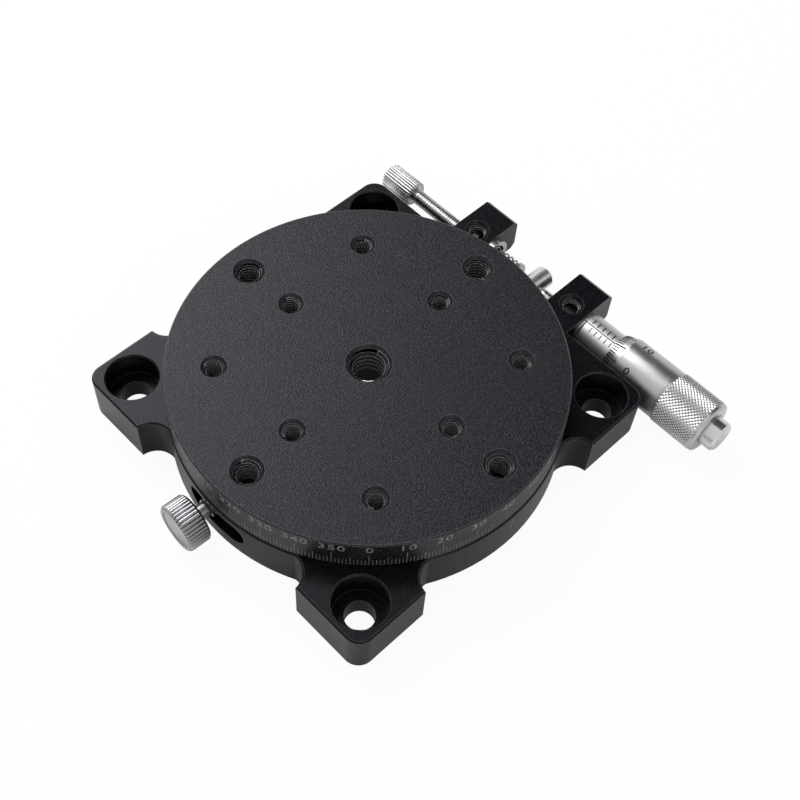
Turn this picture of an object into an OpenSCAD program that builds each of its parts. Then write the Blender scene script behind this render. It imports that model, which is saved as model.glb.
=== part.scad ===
// Manual rotation stage with a 60 mm table.
// A ring round the table's hub is clamped to it by a thumb screw. The ring's drive pin sits
// between a micrometer and a spring, so the table turns freely when the screw is loose and
// over a few degrees, by the micrometer, when it is tight.
// The origin is on the turning axis at the base's bottom face. +Z is up, +X runs towards the
// micrometer's thimble and +Y towards the drive pin.

/* [Table] */
// Diameter of the round table
table_d = 60; // [58:0.5:66]
// Thickness of the table plate
table_t = 5.85; // [5:0.05:8]
// Gap between the table plate and the base
rim_gap = 0.15; // [0.1:0.05:0.4]
// Angle that the table stands at
table_angle = 4.1; // [-180:0.1:180]
// Distance from the table's rim to the hub below the plate
hub_inset = 10; // [9.5:0.5:11]
// Distance from the table's rim to the circle of M4 holes
m4_inset = 5; // [4:0.5:6]
// Number of holes in each ring of holes
ring_holes = 4; // [3:1:6]
// Distance from the table's rim to the inner circle of M3 holes
m3_inset = 14; // [13.5:0.5:14.5]
// Side of the square of M3 holes
m3_square = 32; // [31:0.5:33]
// Depth of the blind M3 holes
m3_depth = 6; // [4:0.5:7]
// Thread diameter of the centre hole
m6_d = 6; // [5:1:8]
// Thread diameter of the larger table holes
m4_d = 4; // [3:0.5:4.5]
// Thread diameter of the smaller table holes and the lug holes
m3_d = 3; // [2:0.5:3.5]
// Width of the bevel round each tapped hole
hole_bevel = 0.5; // [0.2:0.1:0.6]

/* [Base] */
// How far the feet reach past the table's rim on each side
foot_reach = 0; // [0:0.1:2]
// How far the round body reaches past the table's rim
body_reach = 0.2; // [0.1:0.1:0.6]
// Height of the base
base_h = 8; // [7.5:0.1:10]
// Radius of each foot's outer corner
foot_corner_r = 2.5; // [1:0.5:4]
// Radius of the scoop where a foot meets the round body
scoop_r = 3.3; // [2.5:0.1:4]
// Angle from an axis to each scoop's centre
scoop_angle = 25; // [22:0.5:28]
// Distance from the feet's faces to the mounting holes
mount_inset = 5; // [4.8:0.1:6]
// Diameter of the mounting holes
mount_hole_d = 4.5; // [4:0.1:5]
// Diameter of the counterbores
cbore_d = 8; // [7.5:0.1:8.5]
// Depth of the counterbores
cbore_depth = 4.5; // [3:0.1:5]
// Thickness of the base's floor
floor_t = 1.6; // [1.2:0.1:2]
// Thickness of the wall round the cavity
base_wall = 3; // [2:0.1:3.2]
// Diameter of the opening through the middle
aperture_d = 13; // [10:0.5:14]
// Height of the side slots
slot_h = 4.2; // [4:0.1:4.6]
// Length of the side slots
slot_l = 11.7; // [11:0.1:13]
// Bevel on the base's outer edges
edge_bevel = 0.3; // [0.1:0.1:0.5]

/* [Lugs] */
// Width of each lug along the drive axis
lug_w = 6.4; // [5:0.1:8]
// Distance from the middle to each lug's inner face
lug_inner_x = 7.2; // [7.2:0.1:9]
// How far the lugs reach past the drive axis
lug_over = 6.4; // [5:0.1:9]
// Height of the lugs' undersides
lug_bottom = 1.7; // [0:0.1:1.8]
// Bevel on the lugs' outer edges
lug_bevel = 0.8; // [0.4:0.1:1]

/* [Bearing] */
// Bore of the ball bearing
bearing_bore = 20; // [18:0.5:20.5]
// Outer diameter of the ball bearing
bearing_od = 27; // [26.8:0.1:28]
// Width of the ball bearing
bearing_w = 4; // [3.6:0.1:4.2]
// Diameter of a ball
ball_d = 2; // [1.6:0.1:2.1]
// Number of balls
balls = 18; // [12:1:20]
// Height of the face that the inner race sits on
race_seat_z = 3.1; // [2.8:0.1:3.2]
// Play between the balls and their grooves
ball_play = 0.03; // [0.02:0.01:0.05]
// Thickness of the collar above the inner race
collar_t = 0.6; // [0.4:0.1:0.8]
// Thread diameter of the spigot screws
spigot_screw_d = 2; // [1.6:0.1:2.4]
// Number of spigot screws
spigot_screw_n = 4; // [3:1:6]

/* [Fine drive] */
// Gap between the micrometer's knurl and the feet
foot_gap = 0.1; // [0.05:0.05:1]
// Gap beneath the micrometer's knurl
under_gap = 0.2; // [0.2:0.05:0.6]
// Angle of the clamp ring, negative towards the micrometer
ring_angle = -3.3; // [-4.5:0.1:4.5]
// Gap between the clamp ring and the wall round it
ring_gap = 0.65; // [0.4:0.05:1.5]
// Height of the clamp ring
ring_h = 5.9; // [5:0.1:6]
// Diameter of the drive pin
pin_d = 3.5; // [3:0.1:3.8]
// How far the drive pin reaches past the drive axis
pin_over = 3.9; // [3:0.1:6]
// Diameter of the drive pin's threaded end
pin_stub_d = 2; // [1.5:0.1:2.5]
// Radial clearance of the running fits
running_fit = 0.05; // [0.02:0.01:0.1]
// Gap between a domed tip and the drive pin
tip_gap = 0.03; // [0.03:0.01:0.06]

/* [Lock screw] */
// Diameter of the knob
knob_d = 7.7; // [6.5:0.1:8.5]
// Thickness of the knob
knob_t = 3.7; // [3:0.1:5]
// Gap between the base's body and the knob
knob_gap = 1.8; // [1.6:0.1:3]
// Number of teeth round the knob
knob_teeth = 40; // [24:2:48]
// Depth of the teeth
tooth_depth = 0.25; // [0.1:0.05:0.3]
// Thread diameter of the lock screw
lock_d = 3; // [2.5:0.5:3.5]
// Diameter of its plain neck
neck_d = 2.4; // [2:0.1:2.4]
// Length of its plain neck
neck_l = 1.4; // [1:0.1:2]
// Diameter of the clamp pad
pad_d = 2.4; // [2:0.1:2.4]
// Length of the clamp pad
pad_l = 1.3; // [1:0.1:2]

/* [Micrometer] */
// Diameter of the stem in the lug
stem_d = 4; // [3.6:0.1:4.6]
// Diameter of the graduated sleeve
sleeve_d = 6.4; // [6:0.1:6.8]
// Length of the graduated sleeve
sleeve_l = 10.8; // [10:0.1:12]
// Diameter of the sleeve's threaded tail
tail_d = 5.2; // [4.5:0.1:5.4]
// Length of the sleeve's threaded tail
tail_l = 3.2; // [3:0.1:3.4]
// Diameter of the spindle
spindle_d = 2.5; // [2:0.1:2.8]
// Diameter of the thimble
thimble_d = 8.6; // [8.4:0.1:8.8]
// Diameter over the knurl
knurl_d = 9; // [9:0.1:9.4]
// Reading at rest, which is how far the thimble stands from the zero mark
reading = 5; // [4.5:0.1:5.5]
// Distance from the lug to the zero mark
zero_mark = 1.6; // [1.2:0.1:2]
// Length of the thimble
thimble_l = 19.1; // [18.5:0.1:21]
// Length of the thimble's bevel
thimble_bevel_l = 2.2; // [1:0.1:3]
// Length of the knurl
knurl_l = 7.6; // [5:0.1:9]
// Thickness of the thimble's end wall
end_wall = 6.3; // [5.5:0.1:6.4]
// Diameter of the end cap
cap_d = 5.1; // [4:0.1:6]
// Length of the end cap
cap_l = 2.4; // [1.5:0.1:4]
// Diameter of the end cap's stud
stud_d = 1.6; // [1.2:0.1:1.8]

/* [Spring side] */
// Diameter of the spring's wire
wire_d = 0.32; // [0.25:0.01:0.4]
// Outer diameter of the spring
spring_od = 4; // [3.6:0.1:4.2]
// Number of turns of the spring
spring_turns = 8.5; // [7:0.5:9]
// Diameter of the bush's flange
bush_flange_d = 6.2; // [5.8:0.1:6.3]
// Thickness of the bush's flange
bush_flange_t = 1; // [0.6:0.1:1.4]
// Length of the bush's barrel
bush_l = 1.8; // [1.4:0.1:2]
// Wall of the bush's barrel
bush_wall = 0.4; // [0.3:0.05:0.45]
// Depth of the spring's bore in the lug
spring_bore_depth = 3.8; // [3.4:0.1:4.2]
// Thickness of the plates at the spring's ends
plate_t = 0.6; // [0.5:0.1:0.8]
// Length of the bosses inside the spring
boss_l = 1.1; // [0.8:0.1:1.2]
// Thread diameter of the spring screw
spring_screw_d = 2.5; // [2:0.1:3]
// Diameter of the spring screw's head
head_d = 4.4; // [4:0.1:5.5]
// Length of the spring screw's head
head_l = 6.3; // [4:0.1:8]
// Distance from the lug to the head
head_gap = 11; // [6:0.1:14]
// Number of teeth round the head
head_teeth = 26; // [18:2:32]

/* [Hidden] */
$fn = 96;

// Colours
black_anodised = [0.1, 0.1, 0.11];
satin_chrome = [0.78, 0.78, 0.8];
bright_steel = [0.7, 0.7, 0.72];
brass = [0.78, 0.62, 0.3];

// Cutters reach this far past the faces that they cut
past = 1;
// Flat faces of pieces that move past each other stand this far apart
flat_gap = 0.02;

// The base follows the table's diameter
base_w = table_d + 2 * foot_reach;
base_d = table_d + 2 * body_reach;
mount_pitch = base_w - 2 * mount_inset;
hub_d = table_d - 2 * hub_inset;
m4_circle_d = table_d - 2 * m4_inset;
m3_circle_d = table_d - 2 * m3_inset;

// The drive axis runs past the feet, clear of them and of what the base stands on
drive_y = base_w / 2 + foot_gap + knurl_d / 2;
drive_z = knurl_d / 2 + under_gap;

// Table and hub
table_z0 = base_h + rim_gap;
table_top = table_z0 + table_t;
table_edge = 0.2;
hub_z0 = floor_t + 0.4;
race_top_z = race_seat_z + bearing_w;
collar_top_z = race_top_z + collar_t;
collar_clear = 0.6;
bearing_section = (bearing_od - bearing_bore) / 2;
race_t = 0.315 * bearing_section;
race_shoulder = 0.1;
retainer_step = 0.7;
m3_square_r = m3_square / sqrt(2);

// Base
cavity_r = base_d / 2 - base_wall;
scoop_overlap = 0.2;
scoop_centre_r = base_d / 2 + scoop_r - scoop_overlap;
boss_r = bearing_bore / 2 + race_t - race_shoulder;
lug_outer_x = lug_inner_x + lug_w;
lug_outer_y = drive_y + lug_over;
lug_mid_x = lug_inner_x + lug_w / 2;
cbore_bevel = 0.2;
spigot_screw_r = (aperture_d + bearing_bore) / 4;
screw_head_d = spigot_screw_d * 1.9;
screw_head_h = (screw_head_d - spigot_screw_d) / 2;
screw_l = 5;
socket_d = spigot_screw_d * 0.65;
socket_depth = 0.6;

// Bearing
pitch_r = (bearing_bore + bearing_od) / 4;
ball_z = race_seat_z + bearing_w / 2;
groove_r = ball_d / 2 + ball_play;
pocket_r = groove_r + ball_play;
cage_t = 0.2 * bearing_section;
cage_h = 2.9;

// Clamp ring and drive pin
ring_inner_r = hub_d / 2 + running_fit;
ring_outer_r = cavity_r - ring_gap;
ring_z0 = floor_t + 0.1;
pin_r = pin_d / 2;
pin_seat_r = ring_outer_r - 0.3;
pin_stub_r0 = ring_inner_r + 1;
pin_end_r = drive_y + pin_over;
pin_bevel = 0.5;
spot_gap = 0.1;

// Lock screw
lock_tip_r = hub_d / 2 + flat_gap + pad_l + flat_gap;
knob_r0 = base_d / 2 + knob_gap;
lock_thread_end = knob_r0 - neck_l;
knob_bevel = 0.25;
tooth_foot = 0.03;

// Micrometer, along +X from the drive pin
tip_r = spindle_d / 2;
pin_x = -drive_y * tan(ring_angle);
contact_r = (pin_r + tip_r) / cos(ring_angle) + tip_gap;
tip_x = pin_x + contact_r;
spindle_x0 = tip_x + flat_gap;
tip_stub_d = 1.4;
tip_stub_l = 2;
sleeve_x1 = lug_outer_x + sleeve_l;
tail_x1 = sleeve_x1 + tail_l;
sleeve_bore_d = spindle_d + 2 * running_fit;
root_d = sleeve_d - 0.6;
root_l = 0.4;
nut_l = 2.4;
nut_gap = 0.5;
thimble_x0 = lug_outer_x + zero_mark + reading;
thimble_x1 = thimble_x0 + thimble_l;
thimble_bore_d = sleeve_d + 4 * running_fit;
thimble_lip = 0.2;
thimble_wall_x = thimble_x1 - end_wall;
knurl_x0 = thimble_x1 - knurl_l - 0.5;
knurl_bevel = 0.5;
cap_bevel = 0.4;
dish_depth = 0.3;
stud_l = 3;

// Spring side, along -X from the drive pin
cap_x = pin_x - contact_r;
cap_plate_x = cap_x - plate_t;
bore_floor_x = -(lug_inner_x + spring_bore_depth);
seat_x0 = bore_floor_x + 0.1;
seat_x1 = seat_x0 + plate_t;
spring_bore_d = spring_od + 0.6;
plate_d = spring_od + 0.2;
boss_d = spring_od - 2 * wire_d - 0.5;
coil_r = (spring_od - wire_d) / 2;
coil_steps = 16;
wire_sides = 8;
bush_flange_x = -lug_inner_x + bush_flange_t;
head_x1 = -(lug_outer_x + head_gap);
head_bevel = 0.25;
head_tooth = 0.2;

// A cylinder along +Z from z0 to z1
module rod(d, z0, z1) {
    translate([0, 0, z0]) cylinder(d = d, h = z1 - z0);
}

// Places children with their Z axis along the drive axis
module on_drive_axis() {
    translate([0, drive_y, drive_z]) rotate([0, 90, 0]) children();
}

// Places children with their Z axis along the ring's radius at an angle from +X
module on_ring_radius(angle) {
    translate([0, 0, drive_z]) rotate([0, 0, angle]) rotate([0, 90, 0]) children();
}

// A tapped hole down from z = 0, with its bevel
module tapped_hole(d, depth) {
    rod(d, -depth, past);
    translate([0, 0, -hole_bevel]) cylinder(d1 = d, d2 = d + 2 * hole_bevel, h = hole_bevel);
    rod(d + 2 * hole_bevel, 0, past);
}

// A cylinder along +Z from z = 0, with straight teeth between its bevelled ends
module toothed_knob(d, h, teeth, depth, bevel) {
    step = 180 / teeth;
    core_r = d / 2 - depth - tooth_foot;
    outline = [
        for (i = [0 : 2 * teeth - 1])
            let (r = d / 2 - (i % 2) * depth) [r * cos(i * step), r * sin(i * step)]
    ];
    translate([0, 0, bevel]) linear_extrude(height = h - 2 * bevel) polygon(outline);
    bevelled_disc(core_r, h, bevel);
}

// The square block that the feet are cut from
module foot_block() {
    half = base_w / 2;
    straight = half - foot_corner_r;
    b = edge_bevel;
    profile = [
        [-half, b], [-half + b, 0], [half - b, 0], [half, b],
        [half, base_h - b], [half - b, base_h], [-half + b, base_h], [-half, base_h - b]
    ];
    for (turn = [0, 90])
        rotate([90, 0, turn]) linear_extrude(height = 2 * straight, center = true) polygon(profile);
    for (x = [-straight, straight], y = [-straight, straight])
        translate([x, y, 0]) bevelled_disc(foot_corner_r, base_h, b);
}

// A disc with both edges bevelled
module bevelled_disc(r, h, b) {
    rotate_extrude() polygon([[0, 0], [r - b, 0], [r, b], [r, h - b], [r - b, h], [0, h]]);
}

// A scoop's cutter, with the bevels that it leaves at its top and bottom
module scoop_cutter() {
    r = scoop_r;
    b = edge_bevel;
    rotate_extrude() polygon([
        [0, -past], [r + b + past, -past], [r, b], [r, base_h - b],
        [r + b + past, base_h + past], [0, base_h + past]
    ]);
}

// One foot, in the +X +Y corner
module foot() {
    reach = base_w;
    difference() {
        intersection() {
            foot_block();
            translate([0, 0, -past]) linear_extrude(height = base_h + 2 * past) polygon([
                [0, 0],
                [reach * cos(scoop_angle), reach * sin(scoop_angle)],
                [reach, reach],
                [reach * sin(scoop_angle), reach * cos(scoop_angle)]
            ]);
        }
        for (angle = [scoop_angle, 90 - scoop_angle])
            translate([scoop_centre_r * cos(angle), scoop_centre_r * sin(angle), 0]) scoop_cutter();
    }
}

// One lug, on the +X side, with the web that joins it to the nearby foot
module lug() {
    b = lug_bevel;
    root_y = sqrt(pow(cavity_r, 2) - pow(lug_outer_x, 2)) + 1;
    translate([lug_inner_x, 0, 0]) rotate([90, 0, 90]) linear_extrude(height = lug_w) polygon([
        [root_y, lug_bottom], [lug_outer_y - b, lug_bottom], [lug_outer_y, lug_bottom + b],
        [lug_outer_y, base_h - b], [lug_outer_y - b, base_h], [root_y, base_h]
    ]);
    web_y = base_w / 2;
    e = edge_bevel;
    translate([lug_inner_x, 0, 0]) rotate([90, 0, 90])
        linear_extrude(height = mount_pitch / 2 - lug_inner_x) polygon([
            [root_y, 0], [web_y - e, 0], [web_y, e],
            [web_y, base_h - e], [web_y - e, base_h], [root_y, base_h]
        ]);
}

// A side slot's cutter, along +Y
module side_slot() {
    for (x = [-1, 1])
        translate([x * (slot_l - slot_h) / 2, cavity_r - past, drive_z])
            rotate([-90, 0, 0]) cylinder(d = slot_h, h = base_wall + 2 * past);
    translate([-(slot_l - slot_h) / 2, cavity_r - past, drive_z - slot_h / 2])
        cube([slot_l - slot_h, base_wall + 2 * past, slot_h]);
}

module base() color(black_anodised) difference() {
    union() {
        bevelled_disc(base_d / 2, base_h, edge_bevel);
        for (turn = [0 : 90 : 270]) rotate([0, 0, turn]) foot();
        lug();
        mirror([1, 0, 0]) lug();
    }
    difference() {
        rod(2 * cavity_r, floor_t, base_h + past);
        rod(2 * boss_r, floor_t - past, race_seat_z);
    }
    rod(aperture_d, -past, race_seat_z + past);
    side_slot();
    mirror([0, 1, 0]) side_slot();
    for (x = [-1, 1], y = [-1, 1]) translate([x * mount_pitch / 2, y * mount_pitch / 2, 0]) {
        rod(mount_hole_d, -past, base_h);
        rod(cbore_d, base_h - cbore_depth, base_h + past);
        translate([0, 0, base_h - cbore_bevel])
            cylinder(d1 = cbore_d, d2 = cbore_d + 4 * cbore_bevel, h = 2 * cbore_bevel);
    }
    for (i = [0 : spigot_screw_n - 1]) rotate([0, 0, i * 360 / spigot_screw_n + 45])
        translate([spigot_screw_r, 0, 0]) screw_solid(past);
    on_drive_axis() {
        rod(stem_d, lug_inner_x - past, lug_outer_x + past);
        rod(spring_screw_d + 2 * running_fit, -lug_outer_x - past, bore_floor_x + past);
        rod(spring_bore_d, bore_floor_x, -lug_inner_x + past);
        rod(spring_bore_d + 2 * bush_wall, -lug_inner_x - bush_l, -lug_inner_x + past);
    }
    for (x = [-lug_mid_x, lug_mid_x])
        translate([x, drive_y, base_h]) tapped_hole(m3_d, base_h - drive_z);
}

module table() color(black_anodised) rotate([0, 0, table_angle]) difference() {
    rotate_extrude() polygon([
        [0, hub_z0], [hub_d / 2 - table_edge, hub_z0], [hub_d / 2, hub_z0 + table_edge],
        [hub_d / 2, table_z0], [table_d / 2 - table_edge, table_z0],
        [table_d / 2, table_z0 + table_edge], [table_d / 2, table_top - table_edge],
        [table_d / 2 - table_edge, table_top], [0, table_top]
    ]);
    rod(bearing_od + 2 * retainer_step, hub_z0 - past, race_seat_z);
    rod(bearing_od, hub_z0 - past, race_top_z);
    rod(bearing_od - 2 * race_t, hub_z0 - past, collar_top_z + collar_clear);
    translate([0, 0, table_top]) {
        tapped_hole(m6_d, table_top);
        for (i = [0 : ring_holes - 1]) rotate([0, 0, i * 360 / ring_holes]) {
            translate([m4_circle_d / 2, 0, 0]) tapped_hole(m4_d, table_t + past);
            translate([m3_circle_d / 2, 0, 0]) tapped_hole(m3_d, m3_depth);
        }
        for (i = [0 : 3]) rotate([0, 0, i * 90 + 45])
            translate([m3_square_r, 0, 0]) tapped_hole(m3_d, table_t + past);
    }
}

module clamp_ring() color(bright_steel) difference() {
    translate([0, 0, ring_z0]) difference() {
        bevelled_disc(ring_outer_r, ring_h, edge_bevel);
        rod(2 * ring_inner_r, -past, ring_h + past);
    }
    on_ring_radius(ring_angle + 90) {
        rod(pin_stub_d, ring_inner_r - past, ring_outer_r + past);
        rod(pin_d + 2 * spot_gap, pin_seat_r, ring_outer_r + past);
    }
    on_ring_radius(ring_angle - 90)
        rod(lock_d + 2 * running_fit, ring_inner_r - past, ring_outer_r + past);
}

module drive_pin() color(bright_steel) on_ring_radius(ring_angle + 90) rotate_extrude() polygon([
    [0, pin_stub_r0], [pin_stub_d / 2, pin_stub_r0], [pin_stub_d / 2, pin_seat_r],
    [pin_r, pin_seat_r], [pin_r, pin_end_r - pin_bevel], [pin_r - pin_bevel, pin_end_r],
    [0, pin_end_r]
]);

module lock_screw() color(satin_chrome) on_ring_radius(ring_angle - 90) {
    rotate_extrude() polygon([
        [0, lock_tip_r], [lock_d / 2, lock_tip_r], [lock_d / 2, lock_thread_end],
        [neck_d / 2, lock_thread_end], [neck_d / 2, knob_r0 + knob_bevel], [0, knob_r0 + knob_bevel]
    ]);
    translate([0, 0, knob_r0]) toothed_knob(knob_d, knob_t, knob_teeth, tooth_depth, knob_bevel);
}

module clamp_pad() color(brass) on_ring_radius(ring_angle - 90) difference() {
    rod(pad_d, hub_d / 2 - past, hub_d / 2 + flat_gap + pad_l);
    rotate([0, -90, 0]) cylinder(r = hub_d / 2 + flat_gap, h = hub_d, center = true);
}

module bearing_spigot() color(bright_steel) difference() {
    union() {
        rod(bearing_bore, race_seat_z, race_top_z);
        rod(2 * boss_r, race_top_z, collar_top_z);
    }
    rod(aperture_d, race_seat_z - past, collar_top_z + past);
    for (i = [0 : spigot_screw_n - 1]) rotate([0, 0, i * 360 / spigot_screw_n + 45])
        translate([spigot_screw_r, 0, 0]) rod(spigot_screw_d, race_seat_z - past, screw_l);
}

// A countersunk screw, head down at z = 0. over lengthens it past its head
module screw_solid(over) {
    rotate_extrude() polygon([
        [0, -over], [screw_head_d / 2, -over], [screw_head_d / 2, 0],
        [spigot_screw_d / 2, screw_head_h], [spigot_screw_d / 2, screw_l], [0, screw_l]
    ]);
}

module spigot_screws() color(bright_steel)
    for (i = [0 : spigot_screw_n - 1]) rotate([0, 0, i * 360 / spigot_screw_n + 45])
        translate([spigot_screw_r, 0, 0]) difference() {
            screw_solid(0);
            translate([0, 0, -past]) cylinder(d = socket_d, h = past + socket_depth, $fn = 6);
        }

// A bearing race between two radii, with the balls' groove
module race(r0, r1) {
    difference() {
        rod(2 * r1, race_seat_z, race_top_z);
        rod(2 * r0, race_seat_z - past, race_top_z + past);
        rotate_extrude() translate([pitch_r, ball_z]) circle(r = groove_r);
    }
}

module bearing_inner_race() color(bright_steel) race(bearing_bore / 2, bearing_bore / 2 + race_t);

module bearing_outer_race() color(bright_steel) race(bearing_od / 2 - race_t, bearing_od / 2);

module bearing_balls() color(satin_chrome)
    for (i = [0 : balls - 1]) rotate([0, 0, i * 360 / balls])
        translate([pitch_r, 0, ball_z]) sphere(d = ball_d, $fn = 32);

module bearing_cage() color(brass) difference() {
    translate([0, 0, ball_z - cage_h / 2]) difference() {
        cylinder(r = pitch_r + cage_t / 2, h = cage_h);
        rod(2 * pitch_r - cage_t, -past, cage_h + past);
    }
    for (i = [0 : balls - 1]) rotate([0, 0, i * 360 / balls])
        translate([pitch_r - past, 0, ball_z]) rotate([0, 90, 0]) cylinder(r = pocket_r, h = 2 * past);
}

module bearing_retainer() color(black_anodised) difference() {
    rod(bearing_od + 2 * retainer_step, hub_z0, race_seat_z);
    rod(bearing_od - 2 * race_t, hub_z0 - past, race_seat_z + past);
    for (turn = [0, 180]) rotate([0, 0, turn])
        translate([bearing_od / 2 - race_t / 4, 0, 0]) rod(race_t, hub_z0 - past, race_seat_z + past);
}

module micrometer_sleeve() color(satin_chrome) on_drive_axis() difference() {
    rotate_extrude() polygon([
        [0, lug_inner_x], [stem_d / 2, lug_inner_x], [stem_d / 2, lug_outer_x],
        [root_d / 2, lug_outer_x], [root_d / 2, lug_outer_x + root_l],
        [sleeve_d / 2, lug_outer_x + 2 * root_l], [sleeve_d / 2, sleeve_x1],
        [tail_d / 2, sleeve_x1], [tail_d / 2, tail_x1], [0, tail_x1]
    ]);
    rod(sleeve_bore_d, lug_inner_x - past, tail_x1 + past);
}

module adjusting_nut() color(bright_steel) on_drive_axis() difference() {
    rod(sleeve_d, sleeve_x1 + nut_gap, sleeve_x1 + nut_gap + nut_l);
    rod(tail_d, sleeve_x1 - past, tail_x1 + past);
}

module spindle() color(bright_steel) on_drive_axis() difference() {
    rod(spindle_d, spindle_x0, thimble_x1);
    rod(tip_stub_d + 2 * running_fit, spindle_x0 - past, spindle_x0 + tip_stub_l + flat_gap);
    rod(stud_d, thimble_x1 - stud_l, thimble_x1 + past);
}

module spindle_tip() color(satin_chrome) on_drive_axis() {
    difference() {
        translate([0, 0, tip_x]) sphere(r = tip_r);
        rod(2 * spindle_d, tip_x, tip_x + spindle_d);
    }
    rod(tip_stub_d, tip_x - tip_r / 2, tip_x + tip_stub_l);
}

module thimble() color(satin_chrome) on_drive_axis() difference() {
    rotate_extrude() polygon([
        [0, thimble_x0], [thimble_bore_d / 2 + thimble_lip, thimble_x0],
        [thimble_d / 2, thimble_x0 + thimble_bevel_l], [thimble_d / 2, knurl_x0],
        [knurl_d / 2, knurl_x0 + (knurl_d - thimble_d) / 2],
        [knurl_d / 2, thimble_x1 - knurl_bevel],
        [knurl_d / 2 - knurl_bevel, thimble_x1], [0, thimble_x1]
    ]);
    rod(thimble_bore_d, thimble_x0 - past, thimble_wall_x);
    rod(spindle_d, thimble_wall_x - past, thimble_x1 + past);
}

module thimble_cap() color(satin_chrome) on_drive_axis() {
    cap_x1 = thimble_x1 + cap_l;
    rotate_extrude() polygon([
        [0, thimble_x1 - stud_l], [stud_d / 2, thimble_x1 - stud_l], [stud_d / 2, thimble_x1],
        [cap_d / 2, thimble_x1], [cap_d / 2, cap_x1 - cap_bevel], [cap_d / 2 - cap_bevel, cap_x1],
        [0, cap_x1 - dish_depth]
    ]);
}

module spring_bush() color(satin_chrome) on_drive_axis() difference() {
    union() {
        rod(bush_flange_d, -lug_inner_x, bush_flange_x);
        rod(spring_bore_d + 2 * bush_wall, -lug_inner_x - bush_l, -lug_inner_x);
    }
    rod(spring_bore_d, -lug_inner_x - bush_l - past, bush_flange_x + past);
}

module spring_seat() color(bright_steel) on_drive_axis() {
    rod(plate_d, seat_x0, seat_x1);
    rod(boss_d, seat_x0, seat_x1 + boss_l);
}

module spring_cap() color(bright_steel) on_drive_axis() {
    rod(plate_d, cap_plate_x, cap_x);
    rod(boss_d, cap_plate_x - boss_l, cap_x);
    difference() {
        translate([0, 0, cap_x]) sphere(r = tip_r);
        rod(2 * spindle_d, cap_x - spindle_d, cap_x - plate_t / 2);
    }
}

// The points of a wire that is wound from x0 to x1
function coil_points(x0, x1) = [
    for (i = [0 : spring_turns * coil_steps])
        let (turn = i * 360 / coil_steps, x = x0 + (x1 - x0) * i / (spring_turns * coil_steps))
            for (j = [0 : wire_sides - 1])
                let (a = j * 360 / wire_sides, r = coil_r + wire_d / 2 * cos(a))
                    [r * cos(turn), r * sin(turn), x + wire_d / 2 * sin(a)]
];

module drive_spring() color(satin_chrome) on_drive_axis() {
    rings = spring_turns * coil_steps + 1;
    sides = [
        for (i = [0 : rings - 2], j = [0 : wire_sides - 1])
            let (k = (j + 1) % wire_sides, a = i * wire_sides, b = a + wire_sides)
                [a + j, b + j, b + k, a + k]
    ];
    start = [for (j = [0 : wire_sides - 1]) j];
    end = [for (j = [wire_sides - 1 : -1 : 0]) (rings - 1) * wire_sides + j];
    polyhedron(coil_points(seat_x1 + wire_d, cap_plate_x - wire_d), concat(sides, [start, end]));
}

module spring_screw() color(satin_chrome) on_drive_axis() {
    rod(spring_screw_d, head_x1 - head_bevel, seat_x0 - flat_gap);
    translate([0, 0, head_x1 - head_l])
        toothed_knob(head_d, head_l, head_teeth, head_tooth, head_bevel);
}

base();
table();
clamp_ring();
drive_pin();
lock_screw();
clamp_pad();
bearing_spigot();
spigot_screws();
bearing_inner_race();
bearing_outer_race();
bearing_balls();
bearing_cage();
bearing_retainer();
micrometer_sleeve();
adjusting_nut();
spindle();
spindle_tip();
thimble();
thimble_cap();
spring_bush();
spring_seat();
drive_spring();
spring_cap();
spring_screw();
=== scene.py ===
"""Looks of a manual rotation stage with a 60 mm table.

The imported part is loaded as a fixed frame. Each sub-assembly below dresses its own nodes,
replaces the few whose threads, knurls or coils need a finer mesh, and adds the marks. Sizes
are in millimetres until they reach Blender, which works in metres.
"""

import logging
import math
from collections.abc import Callable, Mapping, Sequence
from dataclasses import dataclass
from enum import Enum
from typing import ClassVar

import bmesh
import bpy
from mathutils import Matrix, Vector


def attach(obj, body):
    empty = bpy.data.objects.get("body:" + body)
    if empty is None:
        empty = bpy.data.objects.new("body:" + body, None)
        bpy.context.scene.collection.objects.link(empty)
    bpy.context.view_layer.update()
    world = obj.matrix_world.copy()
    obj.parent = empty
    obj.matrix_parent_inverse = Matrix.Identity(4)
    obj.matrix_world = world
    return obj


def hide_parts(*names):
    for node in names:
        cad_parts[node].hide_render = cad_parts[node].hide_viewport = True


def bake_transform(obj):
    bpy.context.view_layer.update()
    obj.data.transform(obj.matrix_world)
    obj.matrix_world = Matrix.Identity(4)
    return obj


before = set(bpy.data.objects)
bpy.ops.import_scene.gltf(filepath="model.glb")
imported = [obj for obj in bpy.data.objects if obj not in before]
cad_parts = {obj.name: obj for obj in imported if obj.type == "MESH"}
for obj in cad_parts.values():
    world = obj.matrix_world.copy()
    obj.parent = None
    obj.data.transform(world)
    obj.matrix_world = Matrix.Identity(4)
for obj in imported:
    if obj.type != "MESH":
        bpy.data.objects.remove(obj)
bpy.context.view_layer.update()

LOG = logging.getLogger("rotation_stage")

Triple = tuple[float, float, float]
Colour = Triple
Profile = Sequence[tuple[float, float]]
Piece = bpy.types.Object
Socket = bpy.types.NodeSocket
Feed = Socket | float | tuple[float, ...]
Feeds = Mapping[str | int, Feed]

MM = 0.001
ORIGIN: Triple = (0.0, 0.0, 0.0)
EVEN: Triple = (1.0, 1.0, 1.0)
WHITE = (1.0, 1.0, 1.0, 1.0)

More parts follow.
